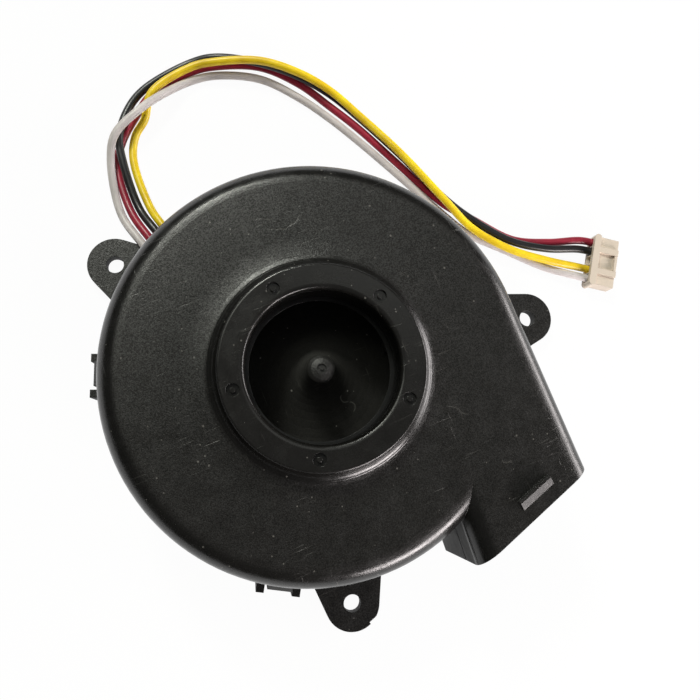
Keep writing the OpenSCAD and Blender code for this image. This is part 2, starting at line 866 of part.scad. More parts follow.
module lead_red() color([0.6, 0.12, 0.2]) lead(to_plug(red_route, plug_slots[0]));
module lead_black() color([0.12, 0.12, 0.12]) lead(to_plug(black_route, plug_slots[1]));
module lead_yellow() color([0.85, 0.68, 0.1]) lead(to_plug(yellow_route, plug_slots[2]));
module lead_white() color([0.9, 0.87, 0.88]) lead(to_plug(white_route, plug_slots[3]));

module at_plug()
    translate([plug_at.x, plug_at.y, 0])
        rotate(plug_turn)
            children();

// Plug housing: flanged rear end with rounded corners, five cavities, a sunk window between two ribs
plug_flange_l = 1.5;
plug_step = 0.4;
plug_drop = 0.5;
rib_w = 1.3;
rib_at = 2.4;
sink_deep = 0.75;
front_lip = 0.6;
cavity_w = lead_d + 0.12;
cavity_l = lead_end + 0.6;
contact_w = 1.1;
contact_back = 0.3;
module plug_housing() color([0.9, 0.87, 0.8])
    at_plug()
        difference() {
            union() {
                for (s = [-1, 1])
                    translate([plug_flange_l / 2, s * (plug_w - plug_flange_l) / 2, 0])
                        cylinder(d = plug_flange_l, h = plug_h, $fn = 32);
                translate([0, -(plug_w - plug_flange_l) / 2, 0])
                    cube([plug_flange_l, plug_w - plug_flange_l, plug_h]);
                translate([plug_flange_l / 2, -plug_w / 2 + plug_step, 0])
                    cube([plug_l - plug_flange_l / 2, plug_w - 2 * plug_step, plug_h - plug_drop]);
                for (s = [-1, 1])
                    translate([plug_flange_l / 2, s * rib_at - rib_w / 2, plug_h - 1])
                        cube([plug_l - plug_flange_l / 2, rib_w, 1]);
                translate([plug_l - front_lip, -rib_at, plug_h - 1])
                    cube([front_lip, 2 * rib_at, 0.8]);
            }
            translate([plug_flange_l, -rib_at + rib_w / 2, plug_h - sink_deep])
                cube([plug_l - plug_flange_l - front_lip, 2 * rib_at - rib_w, 2]);
            for (i = [0:plug_ways - 1])
                translate([0, (i - (plug_ways - 1) / 2) * plug_pitch, plug_z]) {
                    translate([-1, -cavity_w / 2, -cavity_w / 2])
                        cube([cavity_l + 1, cavity_w, cavity_w]);
                    translate([cavity_l - 1, -contact_w / 2 - 0.05, -contact_w / 2 - 0.05])
                        cube([plug_l, contact_w + 0.1, contact_w + 0.1]);
                }
        }

module plug_contacts() color([0.8, 0.78, 0.7])
    at_plug()
        for (s = plug_slots)
            translate([lead_end, s * plug_pitch, plug_z])
                difference() {
                    translate([0, -contact_w / 2, -contact_w / 2])
                        cube([plug_l - contact_back - lead_end, contact_w, contact_w]);
                    translate([1, -contact_w / 2 + 0.2, -contact_w / 2 + 0.2])
                        cube([plug_l, contact_w - 0.4, contact_w - 0.4]);
                }

upper_housing();
lower_housing();
bearing_tube();
stator_core();
upper_insulator();
lower_insulator();
winding_a();
winding_b();
winding_c();
driver_board();
driver_ic();
hall_sensors();
capacitors();
resistors();
solder_joints();
upper_outer_ring();
upper_inner_ring();
upper_balls();
upper_cage();
upper_shields();
lower_outer_ring();
lower_inner_ring();
lower_balls();
lower_cage();
lower_shields();
preload_washer();
shaft();
shaft_clip();
rotor_cup();
rotor_magnet();
impeller();
impeller_shroud();
lead_red();
lead_black();
lead_yellow();
lead_white();
plug_housing();
plug_contacts();
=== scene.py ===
"""Looks of the vacuum fan motor: camera, materials, leads, floor and light."""
import json
import math
import bpy
from mathutils import Matrix, Vector


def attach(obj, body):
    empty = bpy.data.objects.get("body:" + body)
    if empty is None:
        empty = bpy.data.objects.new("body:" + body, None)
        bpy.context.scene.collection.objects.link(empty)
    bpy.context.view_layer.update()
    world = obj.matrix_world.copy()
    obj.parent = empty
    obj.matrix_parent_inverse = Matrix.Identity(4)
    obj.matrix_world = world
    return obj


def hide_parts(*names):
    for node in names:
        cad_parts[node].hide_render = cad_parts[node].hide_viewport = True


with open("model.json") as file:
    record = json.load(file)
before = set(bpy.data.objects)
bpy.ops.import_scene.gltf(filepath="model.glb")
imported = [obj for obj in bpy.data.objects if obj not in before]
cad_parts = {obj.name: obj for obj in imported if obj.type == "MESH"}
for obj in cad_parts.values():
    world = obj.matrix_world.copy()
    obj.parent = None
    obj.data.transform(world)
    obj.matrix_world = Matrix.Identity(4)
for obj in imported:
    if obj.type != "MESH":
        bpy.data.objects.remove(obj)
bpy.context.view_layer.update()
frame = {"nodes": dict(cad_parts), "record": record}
MM = 0.001
scene = bpy.context.scene
nodes = frame["nodes"]


# Camera: the photograph's viewpoint, a close shot from above the inlet

FOCAL_MM, SENSOR_MM = 36.0, 36.0
CLIP_NEAR, CLIP_FAR = 0.005, 20.0
EYE_MM = (-16.2, -8.86, 139.09)
VIEW_RIGHT = (0.91348, -0.3821, 0.13986)
VIEW_UP = (0.36222, 0.92023, 0.14825)


def place_camera():
    data = bpy.data.cameras.new("photo_camera")
    data.lens = FOCAL_MM
    data.sensor_width = SENSOR_MM
    data.clip_start = CLIP_NEAR
    data.clip_end = CLIP_FAR
    cam = bpy.data.objects.new("photo_camera", data)
    scene.collection.objects.link(cam)
    right = Vector(VIEW_RIGHT).normalized()
    back = right.cross(Vector(VIEW_UP).normalized()).normalized()
    up = back.cross(right)
    eye = Vector(EYE_MM) * MM
    cam.matrix_world = Matrix((
        (right.x, up.x, back.x, eye.x),
        (right.y, up.y, back.y, eye.y),
        (right.z, up.z, back.z, eye.z),
        (0, 0, 0, 1)))
    scene.camera = cam


place_camera()


# Node helpers for the procedural materials

# Sockets of the colour Mix node, rays of a rounded edge, and cells per mm of a scratch's waver
MIX_SHARE, MIX_A, MIX_B, MIX_RESULT = 0, 6, 7, 2
EDGE_SAMPLES = 4
SWAY_PER_MM = 0.9


class Graph:
    """A material's nodes, with object coordinates in millimetres.

    A source is a node and the name or number of its output.
    """

    def __init__(self, name):
        self.mat = bpy.data.materials.new(name)
        self.mat.use_nodes = True
        self.tree = self.mat.node_tree
        self.tree.nodes.clear()
        self.out = self.add("ShaderNodeOutputMaterial")
        self.shader = self.add("ShaderNodeBsdfPrincipled")
        self.link(self.shader, "BSDF", self.out, "Surface")
        self.coords = self.add("ShaderNodeTexCoord")
        scale = self.add("ShaderNodeVectorMath")
        scale.operation = "SCALE"
        scale.inputs["Scale"].default_value = 1 / MM
        self.link(self.coords, "Object", scale, 0)
        self.place = (scale, 0)

    def add(self, kind):
        return self.tree.nodes.new(kind)

    def link(self, a, out, b, into):
        self.tree.links.new(a.outputs[out], b.inputs[into])

    def feed(self, source, b, into):
        self.link(source[0], source[1], b, into)

    def stretched(self, scale, turn):
        """place, scaled along its axes and turned about Z"""
        m = self.add("ShaderNodeMapping")
        m.inputs["Scale"].default_value = scale
        m.inputs["Rotation"].default_value = (0, 0, math.radians(turn))
        self.feed(self.place, m, "Vector")
        return (m, 0)

    def noise(self, per_mm, detail=2.0, rough=0.55, place=None):
        n = self.add("ShaderNodeTexNoise")
        n.inputs["Scale"].default_value = per_mm
        n.inputs["Detail"].default_value = detail
        n.inputs["Roughness"].default_value = rough
        self.feed(place or self.place, n, "Vector")
        return (n, 0)

    def cells(self, per_mm):
        """distance to the nearest cell point, and a random value of that cell"""
        n = self.add("ShaderNodeTexVoronoi")
        n.inputs["Scale"].default_value = per_mm
        self.feed(self.place, n, "Vector")
        s = self.add("ShaderNodeSeparateColor")
        self.link(n, "Color", s, 0)
        return (n, 0), (s, 0)

    def waves(self, per_mm, axis, distort):
        n = self.add("ShaderNodeTexWave")
        n.bands_direction = axis
        n.inputs["Scale"].default_value = per_mm
        n.inputs["Distortion"].default_value = distort
        self.feed(self.place, n, "Vector")
        return (n, 1)

    def distance(self, place, point):
        off = self.add("ShaderNodeVectorMath")
        off.operation = "DISTANCE"
        off.inputs[1].default_value = point
        self.feed(place, off, 0)
        return (off, "Value")

    def near(self, point, reach):
        """1 within reach of a point"""
        return self.span(self.distance(self.place, point), 0.8 * reach, reach, 1.0, 0.0)

    def stroke(self, centre, radius, width, mid, reach, wobble=0.7):
        """mask of one scratch: the stretch of a wavering ring about centre that lies within reach of mid"""
        n = self.add("ShaderNodeTexNoise")
        n.inputs["Scale"].default_value = SWAY_PER_MM
        self.feed(self.place, n, "Vector")
        sway = self.add("ShaderNodeVectorMath")
        sway.operation = "MULTIPLY_ADD"
        sway.inputs[1].default_value = (2 * wobble, 2 * wobble, 0)
        self.link(n, "Color", sway, 0)
        self.feed(self.place, sway, 2)
        off = self.distance((sway, 0), (centre[0] + wobble, centre[1] + wobble, centre[2]))
        ring = self.maths("ABSOLUTE", self.minus(off, radius), 0.0)
        line = self.span(ring, 0.4 * width, width, 1.0, 0.0)
        return self.times(line, self.near(mid, reach))

    def axis_distance(self):
        """distance from the fan's axis, and height, in mm"""
        part = self.add("ShaderNodeSeparateXYZ")
        self.feed(self.place, part, 0)
        flat = self.add("ShaderNodeCombineXYZ")
        self.link(part, "X", flat, "X")
        self.link(part, "Y", flat, "Y")
        far = self.add("ShaderNodeVectorMath")
        far.operation = "LENGTH"
        self.link(flat, 0, far, 0)
        return (far, "Value"), (part, "Z")

    def facing_up(self):
        """1 on level surfaces, 0 on upright ones"""
        part = self.add("ShaderNodeSeparateXYZ")
        self.link(self.coords, "Normal", part, 0)
        return (part, "Z")

    def span(self, source, a, b, lo=0.0, hi=1.0):
        """source between a and b, spread to lo to hi"""
        m = self.add("ShaderNodeMapRange")
        m.inputs["From Min"].default_value = a
        m.inputs["From Max"].default_value = b
        m.inputs["To Min"].default_value = lo
        m.inputs["To Max"].default_value = hi
        self.feed(source, m, "Value")
        return (m, 0)

    def where(self, mask, off, on):
        """off where the mask is 0, on where it is 1"""
        return self.span(mask, 0.0, 1.0, off, on)

    def maths(self, op, a, b):
        m = self.add("ShaderNodeMath")
        m.operation = op
        m.use_clamp = op == "ADD"
        for i, v in enumerate((a, b)):
            if isinstance(v, tuple):
                self.feed(v, m, i)
            else:
                m.inputs[i].default_value = v
        return (m, 0)

    def times(self, a, b):
        return self.maths("MULTIPLY", a, b)

    def plus(self, a, b):
        """sum, kept between 0 and 1"""
        return self.maths("ADD", a, b)

    def minus(self, a, b):
        return self.maths("SUBTRACT", a, b)

    def most(self, a, b):
        return self.maths("MAXIMUM", a, b)

    def blend(self, share, a, b):
        m = self.add("ShaderNodeMix")
        m.data_type = "RGBA"
        self.feed(share, m, MIX_SHARE)
        for i, v in ((MIX_A, a), (MIX_B, b)):
            if isinstance(v[0], float):
                m.inputs[i].default_value = (*v, 1.0)
            else:
                self.feed(v, m, i)
        return (m, MIX_RESULT)

    def bump(self, height, depth_mm, strength, soft_edge_mm=0.0, under=None):
        """normal of a height; it stands on rounded edges or on another bump"""
        b = self.add("ShaderNodeBump")
        b.inputs["Strength"].default_value = strength
        b.inputs["Distance"].default_value = depth_mm * MM
        self.feed(height, b, "Height")
        if soft_edge_mm:
            e = self.add("ShaderNodeBevel")
            e.samples = EDGE_SAMPLES
            e.inputs["Radius"].default_value = soft_edge_mm * MM
            self.link(e, "Normal", b, "Normal")
        elif under is not None:
            self.feed(under, b, "Normal")
        return (b, 0)

    def set(self, **values):
        """shader inputs: a source or a constant each"""
        for k, v in values.items():
            name = k.replace("_", " ")
            if isinstance(v, tuple):
                self.feed(v, self.shader, name)
            else:
                self.shader.inputs[name].default_value = v
        return self.mat


def shade(colour, by):
    return tuple(min(1.0, float(c * by)) for c in colour)


# Moulded plastics: lengths in mm, noise in cells per mm, paler and darker tones as multiples of the colour

DRIFT_PER_MM = 0.06
HAIR_TURN = 25.0
HAIR_LONG, HAIR_CROSS = (0.16, 3.4, 0.16), (3.1, 0.14, 0.2)
HAIR_PATCH_PER_MM = 0.09
SCUFF_SHARE, SCUFF_TONE, SCUFF_DEPTH = 0.55, 9.0, 0.4
DUST_PER_MM, DUST_R, DUST_EDGE, DUST_TONE = 0.75, 0.16, 0.03, 14.0
WEAR_PER_MM, WEAR_SMOOTHER, WEAR_ROUGHER = 0.35, 0.04, 0.06
GRAIN_STRENGTH = 0.8
# Gate mark: painted shade as a multiple of the colour, and its rough grain as a multiple of the height
GATE_PAINTED_SHADE, GATE_GRAIN = 0.5, 16.0


def plastic_grain(g, colour, grain, vary):
    """height of the spark-eroded grain, and the colour that drifts with it"""
    fine = g.noise(grain, 2.0, 0.6)
    mottle = g.noise(grain * 0.3, 2.0, 0.5)
    drift = g.noise(DRIFT_PER_MM, 3.0, 0.5)
    tone = g.blend(g.span(fine, 0.4, 0.64), shade(colour, 1.0 - 0.6 * vary), shade(colour, 1.0 + vary))
    tone = g.blend(g.span(mottle, 0.42, 0.66, 0.0, 0.35), tone, shade(colour, 1.0 + 0.7 * vary))
    tone = g.blend(g.span(drift, 0.35, 0.65, 0.0, 0.3), tone, shade(colour, 1.0 + 0.5 * vary))
    return fine, tone


def scratches(g, marks):
    """mask of hair scratches in two directions, in patches, and of the marks that the photograph shows"""
    hair = g.noise(1.0, 2.0, 0.5, g.stretched(HAIR_LONG, HAIR_TURN))
    cross = g.noise(1.0, 2.0, 0.5, g.stretched(HAIR_CROSS, HAIR_TURN * 0.5))
    lines = g.plus(g.span(hair, 0.66, 0.74), g.span(cross, 0.67, 0.75))
    lines = g.times(lines, g.span(g.noise(HAIR_PATCH_PER_MM, 2.0), 0.44, 0.6))
    for mark in marks:
        lines = g.most(lines, g.stroke(*mark))
    return lines


def soiled(g, tone, colour, lines, scuff, dust):
    """tone with pale scratches and dust specks"""
    tone = g.blend(g.times(lines, SCUFF_SHARE * scuff), tone, shade(colour, SCUFF_TONE))
    off, pick = g.cells(DUST_PER_MM)
    size = g.span(pick, 0.5, 1.0, 0.0, DUST_R)
    speck = g.span(g.minus(size, off), 0.0, DUST_EDGE)
    return g.blend(g.times(speck, dust), tone, shade(colour, DUST_TONE))


def wear(g, rough):
    return g.span(g.noise(WEAR_PER_MM, 3.0), 0.35, 0.7, rough - WEAR_SMOOTHER, rough + WEAR_ROUGHER)


def moulded(name, colour, rough, grain, depth, dust, soft_edge, scuff, marks=(), vary=1.0, gate_and_shade=None):
    """Moulded plastic: grain, slow colour drift, dust specks, hair scratches.

    The last argument is the place and reach of a rough gate mark, whose colour is also darkened as painted shade.
    """
    g = Graph(name)
    fine, tone = plastic_grain(g, colour, grain, vary)
    lines = scratches(g, marks)
    tone = soiled(g, tone, colour, lines, scuff, dust)
    height = g.minus(fine, g.times(lines, SCUFF_DEPTH))
    if gate_and_shade:
        gate_and_shade_spot = g.near(*gate_and_shade)
        # Painted shade: the spot's colour is darkened; its coarse grain is the real gate mark
        tone = g.blend(gate_and_shade_spot, tone, shade(colour, GATE_PAINTED_SHADE))
        height = g.times(height, g.where(gate_and_shade_spot, 1.0, GATE_GRAIN))
    return g.set(Base_Color=tone, Roughness=wear(g, rough), Normal=g.bump(height, depth, GRAIN_STRENGTH, soft_edge))


# Housing: collar's outer radius and the height of its foot, inlet bore, and the snap barb on the duct's roof
COLLAR_R, COLLAR_Z = 17.4, 25.5
BORE_R, LIP_R = 12.6, 13.7
BARB, BARB_REACH = (25.4, -32.6, 24.4), 4.8
POLISH_SHARE, POLISH_TONE, POLISH_GRAIN = 0.6, 0.8, 0.28
POLISH_GLOSS, BARB_GLOSS, BARB_GRAIN = 0.09, -0.14, 0.1
# Painted shade in the inlet bore: its wall's colour drops to a quarter and its reflection to 0.3
BORE_PAINTED_SHADE, BORE_SHINE = 0.25, 0.3
SHINE, GLINT_PER_MM, POLISH_GLINT = 0.5, 4.4, 0.3
SWELL, FOOT_SWELL = 0.45, 0.94


def housing(name, colour, rough, grain, depth, dust, soft_edge, scuff, walls, glint, marks):
    """Grained plastic with a polished collar and slopes, rougher upright walls, and painted shade that darkens the
    inlet bore.
    """
    g = Graph(name)
    fine, tone = plastic_grain(g, colour, grain, 1.0)
    lines = scratches(g, marks)
    far, high = g.axis_distance()
    up = g.facing_up()
    barb = g.near(BARB, BARB_REACH)
    on_collar = g.times(g.span(far, COLLAR_R, COLLAR_R + 0.6, 1.0, 0.0), g.span(high, COLLAR_Z, COLLAR_Z + 0.4))
    smooth = g.most(on_collar, g.span(up, 0.94, 0.985, 1.0, 0.0))
    # Mask of the bore's upright wall, where shade is painted into the colour
    bore_shade_mask = g.times(g.span(far, BORE_R + 0.2, BORE_R + 0.4, 1.0, 0.0), g.span(up, 0.05, 0.4, 1.0, 0.0))

    tone = g.blend(g.times(smooth, POLISH_SHARE), tone, shade(colour, POLISH_TONE))
    tone = soiled(g, tone, colour, lines, scuff, dust)
    # Painted shade: the bore's wall is painted dark
    tone = g.blend(bore_shade_mask, tone, shade(colour, BORE_PAINTED_SHADE))

    gloss = g.times(smooth, g.where(barb, POLISH_GLOSS, BARB_GLOSS))
    upright = g.times(g.span(up, 0.02, 0.12, walls, 0.0), g.span(far, BORE_R + 0.4, BORE_R + 1.4))
    worn = g.plus(g.minus(wear(g, rough), gloss), upright)

    pits = g.span(g.noise(GLINT_PER_MM, 1.0, 0.5), 0.38, 0.62, -glint, glint)
    shine = g.plus(g.times(pits, g.where(smooth, 1.0, POLISH_GLINT)), SHINE)
    shine = g.times(shine, g.where(bore_shade_mask, 1.0, BORE_SHINE))

    fine = g.times(fine, g.where(smooth, 1.0, POLISH_GRAIN))
    fine = g.times(fine, g.where(barb, 1.0, BARB_GRAIN))
    height = g.minus(fine, g.times(lines, SCUFF_DEPTH))
    foot = g.span(far, COLLAR_R + 1.2, COLLAR_R + 5.7, FOOT_SWELL, 0.0)
    foot = g.times(g.times(foot, foot), g.span(high, COLLAR_Z - 3.0, COLLAR_Z - 2.0))
    lip = g.times(g.span(far, BORE_R, LIP_R, 1.0, 0.0), g.span(high, COLLAR_Z + 1.0, COLLAR_Z + 1.2))
    flare = g.bump(g.minus(foot, g.times(lip, lip)), SWELL, 1.0, soft_edge)
    return g.set(Base_Color=tone, Roughness=worn, Specular_IOR_Level=shine,
                 Normal=g.bump(height, depth, GRAIN_STRENGTH, under=flare))


# Metals and lead insulation

METAL_GRAIN_PER_MM, TOOL_SWAY, TOOL_STRENGTH, METAL_EDGE = 9.0, 1.5, 0.5, 0.05


def metal(name, colour, rough, lay="Z", lines=6.0, depth=0.004, stain=0.25):
    """Turned, ground or rolled metal: fine tool lines and a slow stain."""
    g = Graph(name)
    fine = g.noise(METAL_GRAIN_PER_MM, 3.0)
    tool = g.waves(lines, lay, TOOL_SWAY)
    drift = g.noise(0.5, 4.0)
    tone = g.blend(g.span(drift, 0.35, 0.7, 0.0, stain), shade(colour, 1.0), shade(colour, 0.62))
    tone = g.blend(g.span(fine, 0.35, 0.7, 0.0, 0.35), tone, shade(colour, 1.12))
    worn = g.span(drift, 0.3, 0.7, rough - 0.06, rough + 0.1)
    return g.set(Base_Color=tone, Metallic=1.0, Roughness=worn,
                 Normal=g.bump(tool, depth, TOOL_STRENGTH, METAL_EDGE))


PVC_DRIFT_PER_MM, PVC_GRAIN_PER_MM, PVC_DIRT_PER_MM = 0.22, 4.5, 0.7
PVC_DEPTH, PVC_STRENGTH, PVC_DIRT_TONE = 0.01, 0.5, 0.5


def insulation(name, colour, rough, dirt=0.25, pale=1.25, dark=0.8):
    """Extruded PVC: fine grain, handling marks, a slow drift of tone."""
    g = Graph(name)
    drift = g.noise(PVC_DRIFT_PER_MM, 3.0)
    fine = g.noise(PVC_GRAIN_PER_MM, 3.0)
    tone = g.blend(g.span(drift, 0.3, 0.7), shade(colour, dark), shade(colour, pale))
    mark = g.span(g.noise(PVC_DIRT_PER_MM, 4.0, 0.7), 0.58, 0.75)
    tone = g.blend(g.times(mark, dirt), tone, shade(colour, PVC_DIRT_TONE))
    worn = g.span(fine, 0.3, 0.7, rough - 0.05, rough + 0.08)
    return g.set(Base_Color=tone, Roughness=worn, Normal=g.bump(fine, PVC_DEPTH, PVC_STRENGTH))


# Scratches on the roof and fibres on the impeller: centre, radius, width, middle, reach and wobble
ROOF_MARKS = [
    ((3.4, 29.2, 24), 4.6, 0.16, (3.6, 24.6, 24), 3.4),
    ((-2, 22, 24), 6.0, 0.12, (0.5, 27.2, 24), 1.6),
    ((25, -24, 24), 3.0, 0.2, (23.2, -26.4, 24), 1.0),
    ((14, -20, 24), 7.0, 0.12, (19, -15, 24), 2.2)]
HUB_MARKS = [
    ((3.6, -5.6, 15.6), 1.35, 0.14, (2.7, -6, 15.4), 1.3, 0.25),
    ((3.3, -7.7, 13.9), 1.15, 0.12, (4.3, -7.6, 13.9), 1.3, 0.25)]
# Hub's tip and the reach of its rough gate mark, which also carries painted shade
HUB_TIP, HUB_TIP_REACH = (0, 0, 24), 2.9

PLASTICS = {
    "impeller_plastic": dict(
        colour=(0.033, 0.0325, 0.03), rough=0.44, grain=4.0, depth=0.006, dust=0.8, soft_edge=0.0, scuff=0.9,
        marks=HUB_MARKS, vary=0.4, gate_and_shade=(HUB_TIP, HUB_TIP_REACH)),
    "shroud_plastic": dict(
        colour=(0.008, 0.0082, 0.0082), rough=0.36, grain=4.0, depth=0.006, dust=0.4, soft_edge=0.08,
        scuff=0.6, vary=0.5),
    "magnet": dict(
        colour=(0.03, 0.03, 0.032), rough=0.6, grain=5.0, depth=0.02, dust=0.3, soft_edge=0.06, scuff=0.2),
    "nylon": dict(
        colour=(0.74, 0.7, 0.6), rough=0.5, grain=2.2, depth=0.006, dust=0.0, soft_edge=0.06, scuff=0.05, vary=0.08),
    "chip_black": dict(
        colour=(0.03, 0.03, 0.032), rough=0.55, grain=6.0, depth=0.01, dust=0.2, soft_edge=0.04, scuff=0.3, vary=0.5),
    "capacitor_tan": dict(
        colour=(0.52, 0.4, 0.25), rough=0.5, grain=4.0, depth=0.01, dust=0.0, soft_edge=0.06, scuff=0.2, vary=0.15),
    "board": dict(
        colour=(0.02, 0.1, 0.045), rough=0.3, grain=0.8, depth=0.02, dust=0.1, soft_edge=0.04, scuff=0.2, vary=0.3),
    "ivory_nylon": dict(
        colour=(0.62, 0.54, 0.45), rough=0.4, grain=5.0, depth=0.003, dust=0.0, soft_edge=0.15,
        scuff=0.03, vary=0.06),
}
METALS = {
    "brass": dict(colour=(0.72, 0.56, 0.27), rough=0.28),
    "bearing_steel": dict(colour=(0.72, 0.73, 0.75), rough=0.16, lines=9.0, depth=0.002, stain=0.1),
    "spring_steel": dict(colour=(0.5, 0.51, 0.53), rough=0.3),
    "core_steel": dict(colour=(0.36, 0.38, 0.42), rough=0.42, lines=0.9, depth=0.03, stain=0.4),
    "cup_steel": dict(colour=(0.62, 0.63, 0.65), rough=0.3, lines=2.0, depth=0.006, stain=0.3),
    "copper_wire": dict(colour=(0.62, 0.3, 0.14), rough=0.3, lines=1.1, depth=0.06, stain=0.3),
    "solder": dict(colour=(0.7, 0.71, 0.72), rough=0.26, lay="X", lines=0.8, depth=0.02, stain=0.2),
    "tinned": dict(colour=(0.7, 0.69, 0.66), rough=0.24, lay="X", lines=2.5, depth=0.006, stain=0.3),
}
INSULATIONS = {
    "red_pvc": dict(colour=(0.34, 0.02, 0.045), rough=0.34),
    "black_pvc": dict(colour=(0.012, 0.012, 0.013), rough=0.34, dirt=0.1, pale=1.5, dark=0.8),
    "yellow_pvc": dict(colour=(0.92, 0.6, 0.012), rough=0.36),
    "white_pvc": dict(colour=(0.66, 0.61, 0.6), rough=0.4, pale=1.08, dark=0.88),
}


def make_materials():
    m = {"housing_plastic": housing(
        "housing_plastic", colour=(0.008, 0.0077, 0.007), rough=0.34, grain=4.8, depth=0.055, dust=0.9,
        soft_edge=0.12, scuff=0.8, walls=0.44, glint=0.2, marks=ROOF_MARKS)}
    for make, table in ((moulded, PLASTICS), (metal, METALS), (insulation, INSULATIONS)):
        for name, values in table.items():
            m[name] = make(name, **values)
    return m


materials = make_materials()
slot_of = {s["node"]: s["material_slot"] for s in frame["record"]["subparts"]}
for name, obj in nodes.items():
    if not obj.material_slots:
        obj.data.materials.append(None)
    for s in obj.material_slots:
        s.material = materials[slot_of[name]]


# Leads: one smooth curve each, through the points of its solid, in mm

LEAD_D = 1.6
PAD_Z, WINDOW_Z = 4.45, 3.4
PLUG_AT, PLUG_TURN, PLUG_Z, PLUG_PITCH = (65.5, 2), math.radians(-34), 1.8, 2.0
PLUG_MOUTH, CONTACT_AT = -2.2, 3.0
CURVE_STEPS, RING_STEPS, LENGTH_STEPS = 10, 5, 32

# Each lead's way in the plug, counted from its middle, and its route from the board's pad
ROUTES = {
    "red": (2, [
        (-10.4, 15.3, PAD_Z), (-16.7, 32.2, WINDOW_Z), (-18.9, 38.4, 3.2), (-20.2, 45, 1.6), (-19.3, 55, 0.8),
        (-16.6, 59.4, 0.8), (-12.2, 63.6, 0.8), (-7.8, 66.9, 0.8), (1.6, 69.1, 0.8), (6.8, 68.7, 0.8),
        (15.4, 65.7, 0.8), (21.8, 59.6, 0.8), (26, 53, 0.8), (29.9, 46.4, 0.8), (34.9, 36.3, 0.8),
        (40.8, 24.6, 0.8), (45.2, 19.6, 0.8), (51.8, 12.3, 0.8), (58.9, 8.9, 1.2)]),
    "black": (1, [
        (-8.7, 16, PAD_Z), (-15, 32.9, WINDOW_Z), (-17.2, 39.1, 3.2), (-18.5, 45, 1.6), (-18, 55.2, 2.3),
        (-17, 59.5, 2.5), (-13.2, 65, 1.8), (-8.5, 68.5, 1), (2, 70.9, 1), (7, 69.9, 2.2),
        (15.4, 65.6, 2.6), (22, 60.2, 2.6), (27, 55, 1.5), (31.1, 48.3, 0.9), (35.8, 37.4, 2.1),
        (41, 24.8, 2.5), (44.5, 19.1, 2.5), (50.8, 11.8, 2.3), (57.8, 7.5, 2.2)]),
    "yellow": (-1, [
        (-7, 16.6, PAD_Z), (-13.3, 33.5, WINDOW_Z), (-15.6, 39.7, 3.2), (-16.5, 45, 1.6), (-16, 55, 0.9),
        (-13.9, 59.5, 0.9), (-11, 62, 1.4), (-7.8, 66.4, 2.5), (1.6, 69.2, 2.5), (6.6, 68.3, 3.4),
        (15.3, 65.2, 4.2), (22, 60, 4.3), (26.8, 55, 3.2), (30.8, 48, 2.6), (35.4, 37.2, 3.7),
        (40.2, 24.3, 4), (43.4, 17.5, 3), (49.6, 10.3, 2.6), (56.6, 5.1, 2.4)]),
    "white": (-2, [
        (-12.1, 14.7, PAD_Z), (-18.4, 31.6, WINDOW_Z), (-20.6, 37.8, 3.3), (-22.1, 45, 1.9), (-20.1, 55.5, 2.8),
        (-17.6, 59.4, 4.3), (-12, 62.6, 4.2), (-7.3, 64.6, 3.4), (0.8, 67.2, 0.9), (6, 66.8, 0.8),
        (14.4, 63.2, 0.8), (20.8, 56.5, 0.8), (25, 50.4, 0.8), (28.7, 44, 0.8), (33.9, 34.1, 0.8),
        (39.1, 23.7, 0.8), (43, 17, 0.8), (49.4, 10.6, 0.8), (56.2, 4, 0.9)]),
}


def plug_point(way, s):
    """point in a way of the plug, s along it"""
    c, d = math.cos(PLUG_TURN), math.sin(PLUG_TURN)
    return (PLUG_AT[0] + s * c - way * PLUG_PITCH * d, PLUG_AT[1] + s * d + way * PLUG_PITCH * c, PLUG_Z)


def handles(p0, p1, p2, p3):
    """Bezier handles of a centripetal Catmull-Rom span from p1 to p2"""
    a, b, c = (p1 - p0).length ** 0.5, (p2 - p1).length ** 0.5, (p3 - p2).length ** 0.5
    h1 = (a * a * p2 - b * b * p0 + (2 * a * a + 3 * a * b + b * b) * p1) / (3 * a * (a + b))
    h2 = (c * c * p1 - b * b * p3 + (2 * c * c + 3 * c * b + b * b) * p2) / (3 * c * (c + b))
    return h1, h2


def add_lead(colour):
    way, route = ROUTES[colour]
    route = route + [plug_point(way, PLUG_MOUTH), plug_point(way, CONTACT_AT)]
    pts = [Vector(p) * MM for p in route]
    ext = [2 * pts[0] - pts[1]] + pts + [2 * pts[-1] - pts[-2]]
    outs, ins = {}, {}
    for i in range(len(pts) - 1):
        outs[i], ins[i + 1] = handles(*ext[i:i + 4])
    ins[0] = pts[0] + (pts[0] - outs[0])
    outs[len(pts) - 1] = pts[-1] + (pts[-1] - ins[len(pts) - 1])
    curve = bpy.data.curves.new("lead_%s_cord" % colour, "CURVE")
    curve.dimensions = "3D"
    curve.resolution_u = CURVE_STEPS
    curve.bevel_depth = LEAD_D / 2 * MM
    curve.bevel_resolution = RING_STEPS
    curve.use_fill_caps = True
    spline = curve.splines.new("BEZIER")
    spline.bezier_points.add(len(pts) - 1)
    for i, b in enumerate(spline.bezier_points):
        b.co = pts[i]
        b.handle_left_type = "FREE"
        b.handle_right_type = "FREE"
        b.handle_left = ins[i]
        b.handle_right = outs[i]
    curve.materials.append(materials["%s_pvc" % colour])
    obj = bpy.data.objects.new("lead_%s_cord" % colour, curve)
    scene.collection.objects.link(obj)
    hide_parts("lead_" + colour)
    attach(obj, "housing")


for colour in ROUTES:
    add_lead(colour)


# Floor, room light and lamps, in metres and watts

